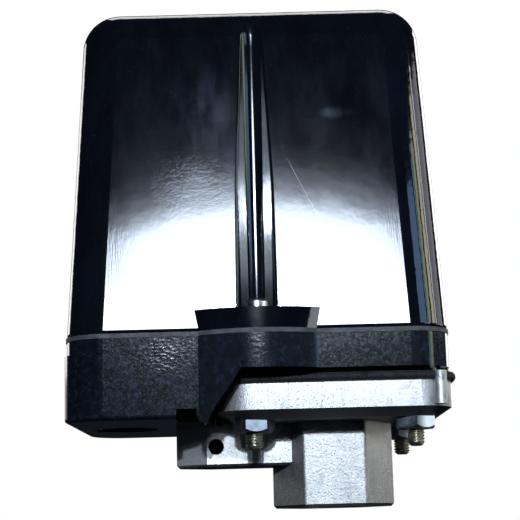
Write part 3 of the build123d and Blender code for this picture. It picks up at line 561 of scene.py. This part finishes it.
SIDE_CARDS = (  # azimuth from the front in degrees, width, foot and top in metres, radiance, colour
    (46, 0.46, 0.34, 0.60, 2.7, (0.35, 0.60, 1.0)),
    (60, 0.08, 0.15, 0.64, 3.4, (0.35, 0.62, 1.0)),
    (58, 0.36, -0.26, 0.11, 3.6, (0.84, 0.92, 1.0)),
    (67, 0.20, 0.15, 0.66, 3.1, (0.88, 1.0, 0.58)),
    (80, 0.22, 0.26, 0.70, 5.0, (1.0, 0.92, 0.72)),
    (89.5, 0.10, 0.30, 0.72, 6.0, (0.86, 0.92, 1.0)),
    (106, 0.66, 0.24, 0.70, 1.4, (0.88, 0.90, 1.0)),
    (104, 0.76, -0.26, 0.15, 1.9, (0.96, 1.0, 0.94)),
)


def area_light(name, place, aim, size, power, colour=(1, 1, 1), shape="RECTANGLE"):
    """A flat light, in metres and watts. Its power is a radiance times pi times its area."""
    data = bpy.data.lights.new(name, "AREA")
    data.shape = shape
    data.size, data.size_y = size
    data.energy = power
    data.color = colour
    light = bpy.data.objects.new(name, data)
    light.location = place
    light.rotation_euler = (Vector(aim) - Vector(place)).to_track_quat("-Z", "Y").to_euler()
    scene.collection.objects.link(light)
    return light


def light_studio():
    """A window in front, a lamp for crisp shadows, coloured cards on the right, soft lights behind."""
    x, y, z = WINDOW_MIDDLE
    wide, high = WINDOW_SIZE
    depth = z - WINDOW_SILL
    power = WINDOW_RADIANCE * math.pi * wide * depth
    area_light("window", (x, y, z - depth / 2), AIM, (wide, depth), power, COOL)
    for number, (w, h, radiance) in enumerate(((wide, high, WINDOW_RADIANCE), *GLOWS)):
        power = radiance * math.pi * math.pi / 4 * w * h
        area_light("window", (x, y - 0.01 * number, z), AIM, (w, h), power, COOL, "ELLIPSE")
    area_light("lamp", LAMP_PLACE, AIM, (LAMP_SIZE, LAMP_SIZE), LAMP_POWER, COOL, "DISK")
    for place, size, radiance in REAR_LIGHTS:
        light = area_light("rear", place, AIM, size, radiance * math.pi * size[0] * size[1])
        light.visible_camera = False
    for azimuth, width, foot, top, radiance, colour in SIDE_CARDS:
        angle = math.radians(azimuth)
        place = (CARD_DISTANCE * math.sin(angle), -CARD_DISTANCE * math.cos(angle), (foot + top) / 2)
        power = radiance * math.pi * width * (top - foot)
        area_light("card", place, (AIM[0], AIM[1], place[2]), (width, top - foot), power, colour)


PALE_PATCH = (  # along each part of a direction, where the room is still dark and where it is pale
    ("aside", 0.12, 0.26),
    ("behind", 0.60, 0.85),
    ("up", 0.37, 0.29),
    ("up", -0.02, 0.06),
)
DARK_ROOM, PALE_ROOM = (0.010, 0.012, 0.018, 1), (1.0, 0.97, 0.92, 1)


def white_world():
    """White behind the object. What it reflects is a dark room, pale only far behind it."""
    world = bpy.data.worlds.new("studio")
    world.use_nodes = True
    scene.world = world
    scene.view_settings.view_transform = "Standard"
    tree = world.node_tree
    direction = add_node(tree, "ShaderNodeTexCoord").outputs["Generated"]
    split = add_node(tree, "ShaderNodeSeparateXYZ", {0: direction})
    aside = add_node(tree, "ShaderNodeMath", {0: split.outputs["X"]}, operation="ABSOLUTE")
    places = {"aside": aside.outputs["Value"], "behind": split.outputs["Y"], "up": split.outputs["Z"]}
    share = 1.0
    for way, dark, pale in PALE_PATCH:
        fade = add_node(tree, "ShaderNodeMapRange", {
            "Value": places[way], "From Min": min(dark, pale), "From Max": max(dark, pale),
            "To Min": float(dark > pale), "To Max": float(pale > dark)}, interpolation_type="SMOOTHSTEP")
        both = add_node(tree, "ShaderNodeMath", {0: share, 1: fade.outputs["Result"]}, operation="MULTIPLY")
        share = both.outputs["Value"]
    shade = add_node(tree, "ShaderNodeMix", {0: share, 6: DARK_ROOM, 7: PALE_ROOM}, data_type="RGBA")
    room = tree.nodes["Background"]
    tree.links.new(shade.outputs[2], room.inputs["Color"])
    backdrop = add_node(tree, "ShaderNodeBackground", {"Color": (1, 1, 1, 1)})
    seen = add_node(tree, "ShaderNodeLightPath").outputs["Is Camera Ray"]
    chooser = add_node(tree, "ShaderNodeMixShader", {0: seen, 1: room.outputs[0], 2: backdrop.outputs[0]})
    tree.links.new(chooser.outputs[0], tree.nodes["World Output"].inputs["Surface"])


def pale_floor():
    """The port holds the switch up, so the floor lies a little below it."""
    height, reach = -0.045, 3.0
    mesh = bpy.data.meshes.new("floor")
    corners = [(x * reach, y * reach, height) for x, y in ((-1, -1), (1, -1), (1, 1), (-1, 1))]
    mesh.from_pydata(corners, [], [(0, 1, 2, 3)])
    mesh.materials.append(floor_paper())
    floor = bpy.data.objects.new("floor", mesh)
    scene.collection.objects.link(floor)
    floor.visible_diffuse = False
    floor.visible_glossy = False


def add_camera():
    """The camera stands just below the port and looks up a little at the front."""
    place = Vector((-17.94, -418.36, -6.54)) * MM
    pitch, roll, yaw = (math.radians(angle) for angle in (10.66, 1.437, 0.19))
    forward = Vector((-math.sin(yaw) * math.cos(pitch), math.cos(yaw) * math.cos(pitch), math.sin(pitch)))
    level = Vector((math.cos(yaw), math.sin(yaw), 0))
    rise = level.cross(forward)
    right = math.cos(roll) * level - math.sin(roll) * rise
    up = math.sin(roll) * level + math.cos(roll) * rise
    data = bpy.data.cameras.new("camera")
    data.sensor_width = 36
    data.lens = 100.24
    data.clip_start = 0.01
    camera = bpy.data.objects.new("camera", data)
    camera.matrix_world = Matrix.Translation(place) @ Matrix((right, up, -forward)).transposed().to_4x4()
    scene.collection.objects.link(camera)
    scene.camera = camera


dress_cad_nodes()
add_threads()
add_springs()
diaphragm_bead()
knob_ribs()
light_studio()
white_world()
pale_floor()
add_camera()
